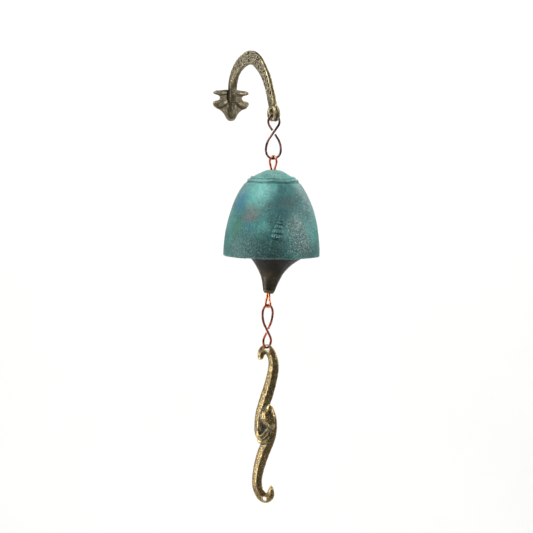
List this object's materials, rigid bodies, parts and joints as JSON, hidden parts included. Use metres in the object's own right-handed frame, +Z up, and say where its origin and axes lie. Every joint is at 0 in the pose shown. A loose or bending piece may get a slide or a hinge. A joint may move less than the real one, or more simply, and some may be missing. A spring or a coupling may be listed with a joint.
{
  "type": "hanging bell",
  "caption": "Cast bronze dome bell hung by wire links from a leaf-shaped wall bracket, with a flared clapper inside and a long knotted pull below it.",
  "frame": {"origin": "middle of the wall plate's flat back face, on the wall plane", "axes": "+Z up, +Y into the wall, +X to the right of someone facing the wall; the bell hangs on the -Y side"},
  "size_m": [0.11, 0.159, 0.5203],
  "materials": {
    "bracket_bronze": "antiqued sand casting, pitted sides, rubbed edges",
    "dark_copper": "oxidised copper wire",
    "bright_copper": "bright copper wire",
    "washer_brass": "plain brass",
    "verdigris_bronze": "green verdigris patina on rough-cast bronze",
    "dark_bronze": "dark blackened bronze",
    "red_copper": "reddened copper wire",
    "pull_brass": "antiqued cast brass, rubbed on the ridges"
  },
  "bodies": {
    "bracket": {"bracket": "bracket_bronze"},
    "upper_link": {"upper_link": "dark_copper"},
    "crown_wire": {"crown_wire": "bright_copper", "crown_washer": "washer_brass"},
    "bell": {"bell": "verdigris_bronze"},
    "clapper_wire": {"clapper_wire": "bright_copper"},
    "clapper": {"clapper": "dark_bronze"},
    "lower_link": {"lower_link": "red_copper"},
    "pull": {"pull": "pull_brass"}
  },
  "joints": [
    {"name": "link_swing", "type": "hinge", "parent": "bracket", "child": "upper_link", "pos_m": [0, -0.104, -0.012], "axis": [1, 0, 0], "range_deg": [-60, 14]},
    {"name": "bell_swing", "type": "hinge", "parent": "upper_link", "child": "crown_wire", "pos_m": [0, -0.104, -0.05859], "axis": [0.2588, -0.9659, 0], "range_deg": [-40, 40]},
    {"name": "bell_spin", "type": "hinge", "parent": "crown_wire", "child": "bell", "pos_m": [0, -0.104, -0.17283], "axis": [0, 0, 1], "continuous": true},
    {"name": "clapper_swing", "type": "hinge", "parent": "crown_wire", "child": "clapper_wire", "pos_m": [0, -0.104, -0.09317], "axis": [0.9659, 0.2588, 0], "range_deg": [-8.8, 9]},
    {"name": "clapper_spin", "type": "hinge", "parent": "clapper_wire", "child": "clapper", "pos_m": [-0.0032, -0.104, -0.21522], "axis": [0.1478, 0, 0.989], "continuous": true},
    {"name": "lower_link_swing", "type": "hinge", "parent": "clapper_wire", "child": "lower_link", "pos_m": [-0.00361, -0.104, -0.23114], "axis": [0.2588, -0.9659, 0], "range_deg": [-40, 40]},
    {"name": "pull_swing", "type": "hinge", "parent": "lower_link", "child": "pull", "pos_m": [-0.00361, -0.104, -0.27772], "axis": [0.9135, 0.4067, 0], "range_deg": [-45, 45]}
  ]
}
